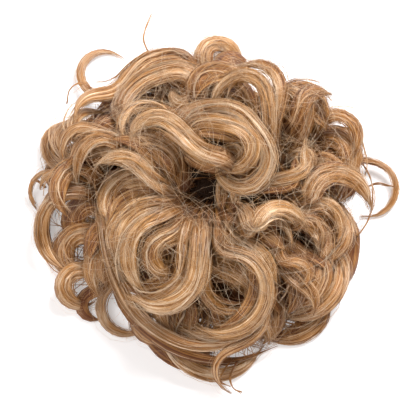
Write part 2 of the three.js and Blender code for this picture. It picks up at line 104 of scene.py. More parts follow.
# %% List the locks
# name, root, eye x, eye y, size, from, sweep, close, wide, loft, points on the way
LOCKS = {
    "outer_curls": [
        ("upper left free loop", 142, -0.655, 0.745, 0.16, -70, -250, 1.0, 0.053, 0.06),
        ("left ringlet outer turn", 168, -0.85, 0.295, 0.153, -115, -175, 1.0, 0.095, 0.06),
        ("left ringlet middle turn", 163, -0.775, 0.3, 0.155, -120, -165, 1.0, 0.088, 0.1),
        ("left ringlet inner turn", 158, -0.685, 0.34, 0.15, -150, -140, 1.0, 0.08, 0.12),
        ("left thin loop", 176, -0.99, 0.0, 0.118, 55, 190, 1.0, 0.037, 0.04),
        ("left small hook", 180, -0.95, 0.02, 0.08, 20, 180, 1.0, 0.071, 0.04),
        ("left barrel inside", 200, -0.78, -0.38, 0.14, 40, 235, 0.85, 0.17, 0.03),
        ("left barrel edge", 188, -0.8, -0.265, 0.225, 80, 175, 1.0, 0.1, 0.05),
        ("lower left roll", 208, -0.79, -0.575, 0.1, 55, 265, 1.15, 0.125, 0.04),
        ("lower left ring", 217, -0.515, -0.69, 0.147, 60, 265, 1.15, 0.07, 0.05),
        ("bottom ring inside", 250, -0.06, -0.86, 0.11, 120, 180, 1.0, 0.108, 0.02),
        ("bottom ring", 255, -0.03, -0.79, 0.23, 165, 175, 1.55, 0.095, 0.04),
        ("lower right edge", 312, 0.42, -0.62, 0.27, -20, -100, 1.0, 0.088, 0.02),
        ("right lower sweep", 330, 0.48, -0.47, 0.29, 15, -125, 1.0, 0.121, 0.05),
        ("right edge", 352, 0.58, -0.25, 0.215, 55, -125, 1.0, 0.1, 0.05),
        ("right free loop", 15, 0.94, 0.03, 0.17, 105, -215, 1.0, 0.044, 0.06),
        ("right ball inside", 22, 0.67, 0.17, 0.165, 100, -150, 1.0, 0.17, 0.04),
        ("right ball edge", 20, 0.725, 0.275, 0.147, 200, -240, 1.0, 0.095, 0.08),
        ("left edge fill", 182, -0.74, -0.06, 0.18, 90, 140, 1.0, 0.14, 0.02),
        ("lower left fill", 226, -0.52, -0.52, 0.2, 70, 150, 1.0, 0.15, 0.02),
        ("bottom left fill", 242, -0.28, -0.76, 0.16, 80, 200, 1.0, 0.15, 0.02),
        ("bottom right fill", 288, 0.2, -0.76, 0.18, 110, -170, 1.0, 0.14, 0.02),
        ("upper left fill", 128, -0.45, 0.55, 0.18, 20, 130, 1.0, 0.14, 0.02),
        ("upper right fill", 38, 0.5, 0.3, 0.17, 120, -115, 1.0, 0.15, 0.02),
        ("right fill", 358, 0.62, 0.02, 0.15, 110, -150, 1.0, 0.14, 0.02),
        ("lower right fill", 318, 0.45, -0.5, 0.2, 20, -110, 1.0, 0.15, 0.02),
        ("upper right arch", 52, 0.46, 0.35, 0.23, 105, -100, 1.0, 0.075, 0.05),
        ("top roll", 92, 0.045, 0.81, 0.115, 210, -240, 1.0, 0.135, 0.1),
        ("upper left outer arch", 100, -0.66, 0.4, 0.16, 75, 120, 1.0, 0.115, 0.05,
         [(-0.16, 0.8), (-0.38, 0.79)]),
    ],
    "middle_curls": [
        ("front left fill", 222, -0.44, -0.52, 0.2, 60, 150, 1.0, 0.16, 0.0),
        ("front fill", 258, -0.12, -0.7, 0.2, 80, 150, 1.0, 0.16, 0.0),
        ("front right fill", 292, 0.3, -0.62, 0.2, 110, -160, 1.0, 0.16, 0.0),
        ("right front fill", 328, 0.5, -0.36, 0.16, 130, -170, 1.0, 0.15, 0.0),
        ("left fill", 158, -0.65, 0.07, 0.18, 95, 80, 1.0, 0.17, 0.0),
        ("left loop", 150, -0.77, 0.19, 0.125, 50, 165, 1.0, 0.08, 0.03),
        ("left arch", 162, -0.606, 0.04, 0.2, 100, 95, 1.0, 0.08, 0.04),
        ("upper left spiral", 146, -0.19, 0.57, 0.135, 115, -420, 0.3, 0.135, 0.04,
         [(-0.55, 0.45), (-0.44, 0.62)]),
        ("upper right band", 20, 0.4, 0.41, 0.147, -20, 110, 1.0, 0.121, 0.03, [(0.46, 0.22)]),
        ("upper right long wave", 8, 0.205, 0.526, 0.19, -10, 135, 1.0, 0.088, 0.05, [(0.36, 0.26)]),
        ("upper right drop", 34, 0.62, 0.4, 0.12, 200, -150, 1.0, 0.12, 0.03),
        ("upper fill", 100, 0.03, 0.53, 0.16, 150, -160, 1.0, 0.15, 0.0),
        ("right short hook", 12, 0.52, 0.097, 0.08, 170, -180, 1.0, 0.108, 0.03),
        ("right small fill", 310, 0.5, -0.71, 0.105, 80, -120, 1.0, 0.108, 0.02),
        ("right lower arch", 348, 0.62, -0.255, 0.14, 190, -230, 1.0, 0.128, 0.03),
        ("right upper arch", 355, 0.735, -0.14, 0.18, 185, -185, 1.15, 0.135, 0.05),
        ("right inner arch", 340, 0.55, -0.33, 0.105, 170, -215, 1.0, 0.081, 0.03),
        ("right lower hook", 322, 0.49, -0.56, 0.09, 150, -230, 0.8, 0.088, 0.03),
        ("front small hook", 295, 0.25, -0.885, 0.09, 80, -110, 1.0, 0.081, 0.02),
        ("front sweep", 300, 0.0, -0.59, 0.31, -10, -120, 1.0, 0.142, 0.03),
        ("left long wave", 176, -0.01, -0.37, 0.59, 200, 100, 1.0, 0.08, 0.02,
         [(-0.6, 0.08), (-0.65, -0.15)]),
        ("front tail", 290, 0.12, -1.1, 0.12, 90, 175, 1.0, 0.055, 0.02, [(0.3, -0.85)]),
    ],
    "crown_curls": [
        ("upper right loop", 5, 0.147, 0.45, 0.17, 0, 200, 0.9, 0.105, 0.05, [(0.32, 0.17)]),
        ("left under fan", 190, -0.44, -0.15, 0.19, 110, 105, 1.0, 0.162, 0.0),
        ("left fan", 205, -0.34, -0.386, 0.235, 80, 125, 1.0, 0.17, 0.03),
        ("left ball fill", 226, -0.3, -0.62, 0.2, 95, 75, 1.0, 0.15, 0.0),
        ("left inner ball", 235, -0.265, -0.474, 0.125, 70, 260, 0.5, 0.125, 0.03),
        ("left crescent", 215, -0.265, -0.46, 0.235, 95, 145, 1.0, 0.115, 0.04),
        ("front inner fan", 272, -0.02, -0.75, 0.265, 90, -75, 1.0, 0.16, 0.02),
        ("front inner diagonal", 276, 0.06, -0.7, 0.32, 80, -65, 1.0, 0.15, 0.02),
        ("front ring left side", 264, 0.1, -0.61, 0.165, 150, 160, 1.0, 0.071, 0.04),
        ("front ring", 278, 0.077, -0.665, 0.218, 100, -240, 1.15, 0.09, 0.05),
        ("front under swirl", 242, -0.36, -0.5, 0.22, 20, -150, 1.0, 0.13, 0.02),
        ("front long lock", 252, -0.3, -0.55, 0.22, 10, -150, 1.0, 0.12, 0.04),
        ("right arch", 310, 0.33, -0.365, 0.13, 200, -220, 1.0, 0.075, 0.06),
        ("well strand right", 295, 0.32, -0.12, 0.2, 195, -65, 1.0, 0.06, 0.03),
        ("well strand middle", 282, 0.23, -0.1, 0.2, 205, -80, 1.0, 0.045, 0.02),
        ("left lower bridge", 203, -0.56, -0.09, 0.212, 20, 110, 1.0, 0.111, 0.04),
        ("left upper bridge", 190, -0.47, -0.033, 0.28, 20, 80, 1.0, 0.159, 0.05),
        ("right bundle", 355, 0.72, 0.16, 0.2, 215, -60, 1.0, 0.08, 0.02),
        ("right under arch", 325, 0.4, -0.35, 0.16, 190, -170, 1.0, 0.12, 0.02),
        ("left eye arch", 125, -0.38, 0.3, 0.16, 60, 155, 1.0, 0.071, 0.05),
        ("crown spiral", 115, 0.159, 0.087, 0.18, 62, -300, 0.72, 0.11, 0.04,
         [(-0.2, 0.33), (-0.1, 0.43), (0.06, 0.42), (0.19, 0.345)]),
        ("crown eye curl", 78, 0.1, 0.11, 0.09, 140, -330, 0.6, 0.055, 0.1),
        ("crown inner wave", 105, 0.12, 0.12, 0.12, 55, -220, 0.8, 0.11, 0.06,
         [(-0.19, 0.25), (-0.11, 0.31), (0.0, 0.29), (0.1, 0.26)]),
        ("crown wave", 15, -0.353, 0.214, 0.135, 60, 130, 1.0, 0.13, 0.06,
         [(-0.04, 0.096), (-0.16, 0.214)]),
    ],
}
print({row: len(locks) for row, locks in LOCKS.items()}, "locks")

# %% [markdown]
# ## The route of one lock
#
# A route runs from the root, past any points on the way, and round the eye. A smooth curve through these
# guide points does it. The curve is the centripetal Catmull-Rom spline, because it passes through every
# guide and never makes a loop of its own where two guides lie close.

# %% Run a smooth curve through guide points
def smooth_curve(guides, parts=40):
    """Points on the centripetal Catmull-Rom spline through the guides."""
    guides = np.asarray(guides)
    padded = np.vstack([2 * guides[0] - guides[1], guides, 2 * guides[-1] - guides[-2]])
    line = []
    for before, start, end, after in zip(padded, padded[1:], padded[2:], padded[3:]):
        spans = [math.sqrt(np.linalg.norm(b - a)) for a, b in ((before, start), (start, end), (end, after))]
        d0, d1, d2 = (max(span, 1e-4) for span in spans)
        leave = ((start - before) / d0 - (end - before) / (d0 + d1) + (end - start) / d1) * d1
        arrive = ((end - start) / d1 - (after - start) / (d1 + d2) + (after - end) / d2) * d1
        t = np.linspace(0, 1, parts, endpoint=False)[:, None]
        line.append(
            start + leave * t + (-3 * start + 3 * end - 2 * leave - arrive) * t**2
            + (2 * start - 2 * end + leave + arrive) * t**3
        )
    return np.vstack([*line, guides[-1:]])


def along(line):
    """The length of a line up to each of its points."""
    return np.concatenate([[0], np.cumsum(np.linalg.norm(np.diff(line, axis=0), axis=1))])


def spaced(line, count):
    """A line as count + 1 points at even distances."""
    length = along(line)
    marks = np.linspace(0, length[-1], count + 1)
    return np.column_stack([np.interp(marks, length, line[:, i]) for i in range(line.shape[1])])


def evened(line):
    """A line with each point at the mean of those around it, which takes kinks out of it."""
    out = line.copy()
    for i in range(len(line)):
        reach = min(3, i, len(line) - 1 - i)
        out[i] = line[i - reach:i + reach + 1].mean(axis=0)
    return out


def polar(radius, degrees):
    """The point at a distance and an angle from the middle."""
    return radius * math.cos(math.radians(degrees)), radius * math.sin(math.radians(degrees))


def ease(value, start, end):
    """0 before start and 1 after end, with a smooth rise between them."""
    t = np.clip((value - start) / (end - start), 0, 1)
    return t * t * (3 - 2 * t)


# %% Lay out a lock in plan
def plan_of(lock, row_radius):
    """The line of a lock seen from above, with its width, thickness and bank at each point."""
    name, root, eye_x, eye_y, size, start, sweep, close, wide, loft, *ways = lock
    guides = [polar(row_radius, root)]
    guides += [(x * REACH, y * REACH) for way in ways for x, y in way]
    steps = math.ceil(abs(sweep) / ARC_STEP)
    for i in range(steps + 1):
        x, y = polar(size * REACH * (1 + (close - 1) * i / steps), start + sweep * i / steps)
        guides.append((eye_x * REACH + x, eye_y * REACH + y))
    curve = smooth_curve(guides)
    count = round(along(curve)[-1] / PATH_STEP)
    line = evened(evened(spaced(curve, count)))
    places = np.arange(count + 1)
    before, after = line[np.maximum(places - 3, 0)], line[np.minimum(places + 3, count)]
    ahead = (after - before) / np.linalg.norm(after - before, axis=1)[:, None]
    came, goes = line - before, after - line
    bend = np.zeros(count + 1)
    inner = slice(3, count - 2)
    cross = came[inner, 0] * goes[inner, 1] - came[inner, 1] * goes[inner, 0]
    lengths = np.linalg.norm(came[inner], axis=1) * np.linalg.norm(goes[inner], axis=1)
    bend[inner] = 2 * cross / lengths / np.linalg.norm(after - before, axis=1)[inner]
    share = places / count
    full = (ROOT_SHARE + (1 - ROOT_SHARE) * ease(share, 0, FULL_FROM)) * (
        1 + (TIP_SHARE - 1) * ease(share, FULL_TO, 1)
    )
    widths = np.minimum(wide * REACH * full, 2 * TIGHTEST / np.maximum(abs(bend), 1))
    return {
        "name": name,
        "line": line,
        "share": share,
        "ahead": ahead,
        "side": np.column_stack([ahead[:, 1], -ahead[:, 0]]),
        "wide": widths,
        "thick": np.maximum(widths * FLATNESS, np.minimum(THINNEST, 0.8 * widths)),
        "bank": BANK * np.sign(sweep) * ease(share, 0, FULL_FROM),
        "loft": loft,
    }


# %% [markdown]
# ## The pile
#
# Locks lie on each other, so the height of each one depends on all that went down before it. A grid of
# heights keeps the upper side of the pile. Each lock is lifted to lie on it, spans hollows in a gentle bow
# as hair does, and then adds itself to the grid. A physics simulation of hair would settle it too, but it
# would take minutes, and the curls would lose the places that they have in the photograph.

# %% Keep the pile's upper side as a grid of heights
class Pile:
    def __init__(self):
        self.heights = np.zeros((2 * PILE_CELLS + 1, 2 * PILE_CELLS + 1))
        cells = (np.arange(2 * PILE_CELLS + 1) - PILE_CELLS) * PILE_CELL
        self.radius = np.hypot(cells[:, None], cells[None, :])

    def cell(self, spots):
        return tuple((np.floor(spots / PILE_CELL + 0.5).astype(int) + PILE_CELLS).T)

    def at(self, spots):
        return self.heights[self.cell(spots)]

    def raise_to(self, spots, height):
        np.maximum.at(self.heights, self.cell(spots), height)

    def raise_ring(self, inner, outer, height_in, height_out):
        inside = (self.radius >= inner) & (self.radius <= outer)
        slope = height_in + (height_out - height_in) * (self.radius - inner) / (outer - inner)
        self.heights = np.where(inside, np.maximum(self.heights, slope), self.heights)


# %% Lift a lock onto the pile
def drape(lock, pile, root_height):
    """Gives a lock its heights, on top of what the pile holds, and adds it to the pile."""
    line, side, wide, thick = lock["line"], lock["side"], lock["wide"], lock["thick"]
    half = np.hypot(thick / 2 * np.cos(lock["bank"]), wide / 2 * np.sin(lock["bank"])) + GAP / 2
    under = np.zeros(len(line))
    for share in (-0.4, -0.2, 0, 0.2, 0.4):
        under = np.maximum(under, pile.at(line + side * (wide * share)[:, None]))
    rest = np.where(under > 0, under + half - SINK * thick, half)
    places = np.arange(len(line)) * PATH_STEP
    spanned = (rest[None, :] - (places[:, None] - places[None, :]) ** 2 / (2 * LOCK_BEND)).max(axis=1)
    even = np.array([spanned[max(i - 3, 0):i + 4].mean() for i in range(len(line))])
    arched = even + lock["loft"] * REACH * np.sin(np.pi * lock["share"]) ** 2
    rise = ease(places, 0, ROOT_RUN)
    height = np.maximum(root_height + (arched - root_height) * rise, half)
    for share in np.arange(-0.5, 0.51, 0.125):
        top = height + thick / 2 * min(1, 2 - 4 * abs(share))
        pile.raise_to(line + side * (wide * share)[:, None], top)
    lock["path"] = np.column_stack([line, height])


# %% Lay loose hair between the locks
def is_open(name):
    """Whether a lock is a thin ring or a loop that one looks through, so that no loose hair belongs there."""
    return any(word in name for word in ("free", "thin", "tail", "lower left ring"))


def loose_locks(entries, row_radius, root_height, pile, copies=1):
    """Thin neighbours of each lock, turned a little round the band, that lie below the row's own locks."""
    scratch = Pile()
    scratch.heights = pile.heights.copy()
    loose = []
    for name, root, x, y, size, start, sweep, close, wide, loft, *ways in entries:
        for copy in range(0 if is_open(name) else copies):
            turn = random.uniform(4, 13) * random.choice([-1, 1])
            cos, sin = polar(1, turn)
            reach = random.uniform(0.86, 1.0)
            moved = lambda a, b: (reach * (a * cos - b * sin), reach * (a * sin + b * cos))
            ways_turned = [[moved(a, b) for a, b in way] for way in ways]
            entry = (
                f"{name} {copy}", root + turn, *moved(x, y),
                size * random.uniform(0.75, 1.2), start + turn, sweep * random.uniform(0.7, 1.0), close,
                wide * random.uniform(0.7, 1.1), loft * 0.5, *ways_turned,
            )
            lock = plan_of(entry, row_radius)
            drape(lock, scratch, root_height)
            scratch.heights = pile.heights.copy()
            loose.append(lock)
    return loose


# %% Lay all the locks
pile = Pile()
edge = WEFT_WIDE / 2
steps = list(ROWS.values())
for (radius, step), (inner_radius, inner_step) in zip(steps, steps[1:]):
    pile.raise_ring(radius - edge - GAP, radius + edge, step, step)
    pile.raise_ring(inner_radius + edge, radius - edge - GAP, inner_step, step)
pile.raise_ring(BAND_RADIUS, steps[-1][0] + edge, steps[-1][1], steps[-1][1])

laid, under_hair = {}, {}
random = np.random.default_rng(7)
for row, (radius, step) in ROWS.items():
    top = step + GAP + WEFT_TALL
    pile.raise_ring(radius - edge, radius + edge, top, top)
    laid[row] = []
    copies = 2 if row == "outer_curls" else 1
    under_hair[row] = loose_locks(LOCKS[row], radius, top - WEFT_TALL / 2, pile, copies)
    for entry in LOCKS[row]:
        lock = plan_of(entry, radius)
        drape(lock, pile, top - WEFT_TALL / 2)
        laid[row].append(lock)
print("Locks laid up to", round(pile.heights.max(), 4), "m")

# %% [markdown]
# ## Hair
#
# A hair is a thin tube. Three sides are enough at this size, because smooth shading rounds them off, and
# thousands of hairs stay light enough to open. Each hair keeps its place across the lock as it runs along
# it, with a little wandering, and hairs go in wisps, as combed hair does: those of one wisp share their
# wandering and draw together at the tip.


def put(name, data):
    """A new object in the scene."""
    thing = bpy.data.objects.new(name, data)
    bpy.context.collection.objects.link(thing)
    return thing


def settle(name, mesh, node, material):
    """Makes a mesh a piece of the hairpiece that stands for one of its solids."""
    piece = put(name, mesh)
    mesh.materials.append(material)
    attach(piece, "root")
    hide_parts(node)


# %% Make tubes from many lines at once
def tubes(lines, radii, sides=3):
    """The rings of tubes, hairs x points x sides x 3, round lines of hairs x points x 3."""
    ahead = np.gradient(lines, axis=1)
    ahead /= np.linalg.norm(ahead, axis=2, keepdims=True) + 1e-12
    across = np.cross(ahead, [0.0, 0.0, 1.0])
    across /= np.linalg.norm(across, axis=2, keepdims=True) + 1e-12
    up = np.cross(across, ahead)
    turns = np.arange(sides) * 2 * np.pi / sides + np.pi / 2
    ring = across[:, :, None] * np.cos(turns)[:, None] + up[:, :, None] * np.sin(turns)[:, None]
    return lines[:, :, None] + ring * np.broadcast_to(radii, lines.shape[:2])[:, :, None, None]


class Tress:
    """Tubes that become one mesh, each closed with a cap at both ends."""

    def __init__(self):
        self.parts = []

    def add(self, lines, radii, tone, lowest=0):
        """tone is one value a hair, 0 for the darkest and 1 for the palest, and no hair goes under lowest."""
        lines[:, :, 2] = np.maximum(lines[:, :, 2], lowest)
        self.add_rings(tubes(lines, radii), tone)

    def add_rings(self, rings, tone, around=None):
        """around is a place in the streaks for each corner, and only the bodies of locks have it."""
        self.parts.append((rings, np.asarray(tone), around))

    def faces(self):
        shapes = [rings.shape for rings, _, _ in self.parts]
        return sum(2 * hairs * ((points - 1) * sides + sides - 2) for hairs, points, sides, _ in shapes)

    def build(self, name, node, material):
        verts, loops, sizes, look, strip, streak = [], [], [], [], [], []
        offset, done = 0, 0
        total = sum(rings.shape[0] for rings, _, _ in self.parts)
        for rings, tone, around in self.parts:
            hairs, points, sides, _ = rings.shape
            base = (np.arange(hairs)[:, None, None] * points + np.arange(points - 1)[:, None]) * sides
            here = base + np.arange(sides) + offset
            beside = base + (np.arange(sides) + 1) % sides + offset
            loops.append(np.stack([here, beside, beside + sides, here + sides], axis=3).ravel())
            sizes.append(np.full(here.size, 4))
            first = np.arange(hairs)[:, None] * points * sides + offset
            loops.append((first + np.arange(sides)[::-1]).ravel())
            loops.append((first + (points - 1) * sides + np.arange(sides)).ravel())
            sizes.append(np.full(2 * hairs, sides))
            verts.append(rings.reshape(-1, 3))
            share = np.tile(np.repeat(np.linspace(0, 1, points), sides), hairs)
            look.append(np.column_stack([np.repeat(tone, points * sides), share]))
            place = np.repeat((done + np.arange(hairs)) / total, points * sides)
            turn = np.tile(np.arange(sides) / sides, hairs * points)
            strip.append(np.column_stack([place + (0.2 + 0.6 * turn) / total, 0.02 + 0.96 * share]))
            if around is not None:
                streak.append(around.reshape(-1, 2))
            offset += hairs * points * sides
            done += hairs
        verts, loops, sizes = np.vstack(verts), np.concatenate(loops), np.concatenate(sizes)
        mesh = bpy.data.meshes.new(name)
        mesh.vertices.add(len(verts))
        mesh.vertices.foreach_set("co", (verts + MIDDLE).ravel().astype(np.float32))
        mesh.loops.add(len(loops))
        mesh.loops.foreach_set("vertex_index", loops.astype(np.int32))
        mesh.polygons.add(len(sizes))
        starts = np.concatenate([[0], np.cumsum(sizes)[:-1]])
        mesh.polygons.foreach_set("loop_start", starts.astype(np.int32))
        mesh.update(calc_edges=True)
        maps = [("OFBake", np.vstack(strip)), ("Hair", np.vstack(look))]
        if streak:
            maps.append(("Streak", np.vstack(streak)))
        for layer, values in maps:
            uv = mesh.uv_layers.new(name=layer)
            uv.data.foreach_set("uv", values[loops].ravel().astype(np.float32))
        mesh.polygons.foreach_set("use_smooth", np.ones(len(sizes), dtype=bool))
        settle(name, mesh, node, material)
        print(f"{name}: {total} tubes, {self.faces()} triangles")


# %% Fill a lock with hairs
HAIR = 0.00015  # radius of the drawn hair, which is about as wide as four real ones
HAIR_STEP = 0.0049
HAIR_APART = 0.00018
WISP_WIDE = 0.0011
LOWEST = 0.0003  # of bodies and fine hairs above the table
GOLDEN_ANGLE = 2.399963
TWIST = 2.2  # radians that a lock's hairs turn round its middle, at most
WISP_DRIFT = 0.16  # how far wisps and hairs wander, as shares of the lock's half width
HAIR_DRIFT = 0.07
WISP_TONES = 0.17  # how much wisps and hairs differ in how pale they are
HAIR_TONES = 0.13
STARTS_LATE = 0.2  # share of the hairs that don't begin at the root


def frame_along(lock, points):
    """The lock's path with its section's directions and half sizes, at even distances."""
    path, share = lock["path"], lock["share"]
    marks = np.linspace(0, 1, points)
    centre = np.column_stack([np.interp(marks, share, path[:, i]) for i in range(3)])
    ahead = np.gradient(centre, axis=0)
    ahead /= np.linalg.norm(ahead, axis=1)[:, None]
    side = np.column_stack([ahead[:, 1], -ahead[:, 0], np.zeros(points)])
    side /= np.linalg.norm(side, axis=1)[:, None]
    up = np.cross(side, ahead)
    bank = np.interp(marks, share, lock["bank"])[:, None]
    right = side * np.cos(bank) - up * np.sin(bank)
    rise = up * np.cos(bank) + side * np.sin(bank)
    half_wide = np.interp(marks, share, lock["wide"]) / 2
    half_thick = np.interp(marks, share, lock["thick"]) / 2
    return centre, right, rise, half_wide, half_thick, marks


def wave(marks, count, size, slow=0.6, fast=2.2):
    """Slow random wandering along a hair, count rows."""
    rate = random.uniform(slow, fast, (count, 1))
    phase = random.uniform(0, 2 * np.pi, (count, 1))
    return size * np.sin(2 * np.pi * rate * marks + phase)


def tones(middle, spread, hairs):
    """How pale each hair is, round a middle tone."""
    return np.clip(middle + spread * random.standard_normal(hairs), 0, 1)


def fill(tress, lock, density, tone, stretch=1.0, inmost=0.0):
    """Fills a lock with hairs that go in wisps and turn a little round its middle as they run along it."""
    length = along(lock["path"])[-1]
    twist = random.uniform(-TWIST, TWIST)
    points = max(10, round(length / HAIR_STEP / stretch))
    centre, right, rise, half_wide, half_thick, marks = frame_along(lock, points)
    widest = half_wide.max() * 2
    wisps = max(4, round(widest / WISP_WIDE))
    hairs = round(density * (14 + widest / HAIR_APART))
    wisp_of = random.integers(0, wisps, hairs)
    # Each wisp has its place across the section, on a golden-angle spread so that they fill it evenly.
    order = (np.arange(wisps) + 0.5) / wisps
    reach = np.sqrt(inmost**2 + (1 - inmost**2) * order) * 0.9
    spin = np.arange(wisps) * GOLDEN_ANGLE
    angle = spin[:, None] + twist * marks
    wisp_x = reach[:, None] * np.cos(angle) + wave(marks, wisps, WISP_DRIFT)
    wisp_y = reach[:, None] * np.sin(angle) + wave(marks, wisps, WISP_DRIFT)
    spread = 0.42 / math.sqrt(wisps / 6)
    hair_far = np.sqrt(random.uniform(0, 1, hairs)) * spread * 1.6
    hair_turn = random.uniform(0, 2 * np.pi, hairs)
    gather = 1 - 0.45 * ease(marks, 0.6, 1.0)
    x = wisp_x[wisp_of] + (hair_far * np.cos(hair_turn))[:, None] * gather
    x = x + wave(marks, hairs, HAIR_DRIFT, 1, 4)
    y = wisp_y[wisp_of] + (hair_far * np.sin(hair_turn))[:, None] * gather
    y = y + wave(marks, hairs, HAIR_DRIFT, 1, 4)
    push = np.maximum(np.hypot(x, y) / 1.08, 1)
    x, y = x / push, y / push
    lines = centre + right * (x * half_wide)[:, :, None] + rise * (y * half_thick)[:, :, None]
    taper = HAIR * (1 - 0.55 * ease(marks, 0.7, 1.0))
    radii = taper * random.uniform(0.8, 1.15, (hairs, 1))
    # Hairs end at different places, so that the tip thins out instead of stopping.
    ends = 1 - 0.3 * random.uniform(0, 1, hairs) ** 2
    starts = np.where(random.uniform(0, 1, hairs) < STARTS_LATE, random.uniform(0.0, 0.25, hairs), 0)
    cut = np.empty_like(lines)
    for k in range(hairs):
        spots = np.linspace(starts[k], ends[k], points)
        for axis in range(3):
            cut[k, :, axis] = np.interp(spots, marks, lines[k, :, axis])
    wisp_tone = 0.5 + tone + WISP_TONES * random.standard_normal(wisps)[wisp_of]
    tress.add(cut, radii, tones(wisp_tone, HAIR_TONES, hairs), lowest=HAIR)


# %% Give a lock its body
BODY_STEP = 0.003
BODY_SHARE = 0.86  # of the lock's own width
RIDGES = np.array([5, 7])[:, None, None]
RIDGE_HEIGHTS = np.array([0.06, 0.04])[:, None, None]


def body(tress, lock, tone, sides=20):
    """The body of a lock, which its hairs lie on: a flat tube with a few ridges that turn slowly round it."""
    rings = max(12, round(along(lock["path"])[-1] / BODY_STEP))
    centre, right, rise, half_wide, half_thick, marks = frame_along(lock, rings)
    turn = np.arange(sides) * 2 * np.pi / sides
    twist = random.uniform(-2, 2, 2)[:, None, None] * marks[:, None]
    phase = random.uniform(0, 2 * np.pi, 2)[:, None, None]
    ripple = 1 + (RIDGE_HEIGHTS * np.sin(RIDGES * (turn + twist) + phase)).sum(axis=0)
    size = BODY_SHARE * ripple * (1 - 0.85 * ease(marks, 0.85, 1.0))[:, None]
    x = size * np.cos(turn) * half_wide[:, None]
    y = size * np.sin(turn) * half_thick[:, None]
    verts = centre[:, None] + right[:, None] * x[:, :, None] + rise[:, None] * y[:, :, None]
    verts[:, :, 2] = np.maximum(verts[:, :, 2], LOWEST)
    spot = random.uniform(0, 50, 2)
    widest = half_wide.max() * 1000
    wound = turn - twist[0] * 0.5
    around = np.stack([widest * np.cos(wound) + spot[0], 0.6 * widest * np.sin(wound) + spot[1]], axis=2)
    tress.add_rings(verts[None, :, ::-1], [np.clip(0.5 + tone, 0, 1)], around[None, :, ::-1])


# %% Let some hairs stray from their lock
STRAY_STEP = 0.006
STRAY_HAIR = 0.00009
LIFT = 0.0004  # of a loose strand above what it lies on


def stray(tress, lock, hairs=10, reach=0.004):
    """Fine single hairs that follow a lock and drift away from it."""
    points = max(10, round(along(lock["path"])[-1] / STRAY_STEP))
    centre, right, rise, half_wide, half_thick, marks = frame_along(lock, points)
    start = random.uniform(-1, 1, (hairs, 1)) * half_wide
    drift = random.uniform(-reach, reach, (hairs, 1)) * marks**1.5 + wave(marks, hairs, 0.0012, 0.5, 1.6)
    lift = half_thick + random.uniform(0, 0.003, (hairs, 1)) * np.sin(np.pi * marks)
    lines = centre + right * (start + drift)[:, :, None] + rise * lift[:, :, None]
    tress.add(lines, STRAY_HAIR * (1 - 0.5 * marks), tones(0.75, 0.2, hairs), LOWEST)


# %% Let thin strands leave their lock
def wander(tress, lock, strands=2, hairs=6):
    """Thin strands that lie on a lock and slide off one side of it, over what lies beside it."""
    points = max(12, round(0.65 * along(lock["path"])[-1] / HAIR_STEP))
    centre, right, rise, half_wide, half_thick, share = frame_along(lock, points)
    for _ in range(strands):
        begin = random.uniform(0.05, 0.3)
        marks = np.linspace(begin, min(begin + random.uniform(0.45, 0.75), 1), points)
        take = lambda values: np.column_stack([np.interp(marks, share, values[:, i]) for i in range(3)])
        middle, across, up = take(centre), take(right), take(rise)
        wide, thick = np.interp(marks, share, half_wide), np.interp(marks, share, half_thick)
        side = random.choice([-1, 1])
        slide = side * (random.uniform(-0.6, 0.5) * wide + random.uniform(0.002, 0.007) * share**1.6)
        spread = np.sqrt(random.uniform(0, 1, (hairs, 1))) * random.uniform(0.0004, 0.0009)
        turn = random.uniform(0, 2 * np.pi, (hairs, 1)) + 2.5 * share
        shift = slide + spread * np.cos(turn) * (1 - 0.5 * share)
        over = np.clip(1 - (slide / (wide + 1e-6)) ** 2, 0, 1) ** 0.5 * thick + LIFT
        lift = over + abs(spread * np.sin(turn)) + 0.0012 * np.sin(np.pi * share)
        lines = middle + across * shift[:, :, None] + up * lift[:, :, None]
        ground = pile.at(lines[:, :, :2].reshape(-1, 2)).reshape(hairs, points)
        near = np.minimum(ground + LIFT, middle[:, 2] + 0.006)
        lines[:, :, 2] = np.maximum(lines[:, :, 2], near * share**2 + lines[:, :, 2] * (1 - share**2))
        radii = HAIR * (1 - 0.55 * ease(share, 0.6, 1.0))
        tress.add(lines, radii, tones(random.normal(0.6, 0.14), 0.1, hairs), LIFT)


# %% [markdown]
# ## The hair's colour
#
# Honey blonde hair is never one colour. Each hair is a little paler or browner than the next, and the tips
# are bleached by light. A UV map on the hairs holds how pale each one is, and how far along it a point lies.
# A node group turns these two into a colour, and every row of curls uses the group with its own values. The
# group also paints the first part of each hair darker, as painted shade at the roots, which lie low among the
# other locks.
# The bodies have a second map, round their section, for streaks that look like more hairs.

# %% Make materials and their nodes
def new_material(name):
    """A new material, with its node tree and its shader's inputs."""
    material = bpy.data.materials.new(name)
    material.use_nodes = True
    return material, material.node_tree, material.node_tree.nodes["Principled BSDF"].inputs


def shader_group(name, inputs, outputs):
    """A new node group, with what comes into it and what goes out."""
    group = bpy.data.node_groups.new(name, "ShaderNodeTree")
    for way, sockets in (("INPUT", inputs), ("OUTPUT", outputs)):
        for label, kind in sockets.items():
            group.interface.new_socket(label, in_out=way, socket_type="NodeSocket" + kind)
    return group, group.nodes.new("NodeGroupInput").outputs, group.nodes.new("NodeGroupOutput").inputs


def add_node(tree, kind, sockets=(), **settings):
    """A new node. Each socket named gets a value, or is fed from another node's output."""
    node = tree.nodes.new("ShaderNode" + kind)
    for name, value in settings.items():
        setattr(node, name, value)
    for name, value in dict(sockets).items():
        if isinstance(value, bpy.types.NodeSocket):
            tree.links.new(value, node.inputs[name])
        else:
            node.inputs[name].default_value = value
    return node


def calculate(tree, operation, *values):
    """The result of one sum."""
    return add_node(tree, "Math", enumerate(values), operation=operation).outputs[0]


def mix(tree, share, first, second):
    """The mix of two colours, all of the second one where the share is 1."""
    sockets = {"Factor": share, "A": first, "B": second}
    return add_node(tree, "Mix", sockets, data_type="RGBA").outputs["Result"]


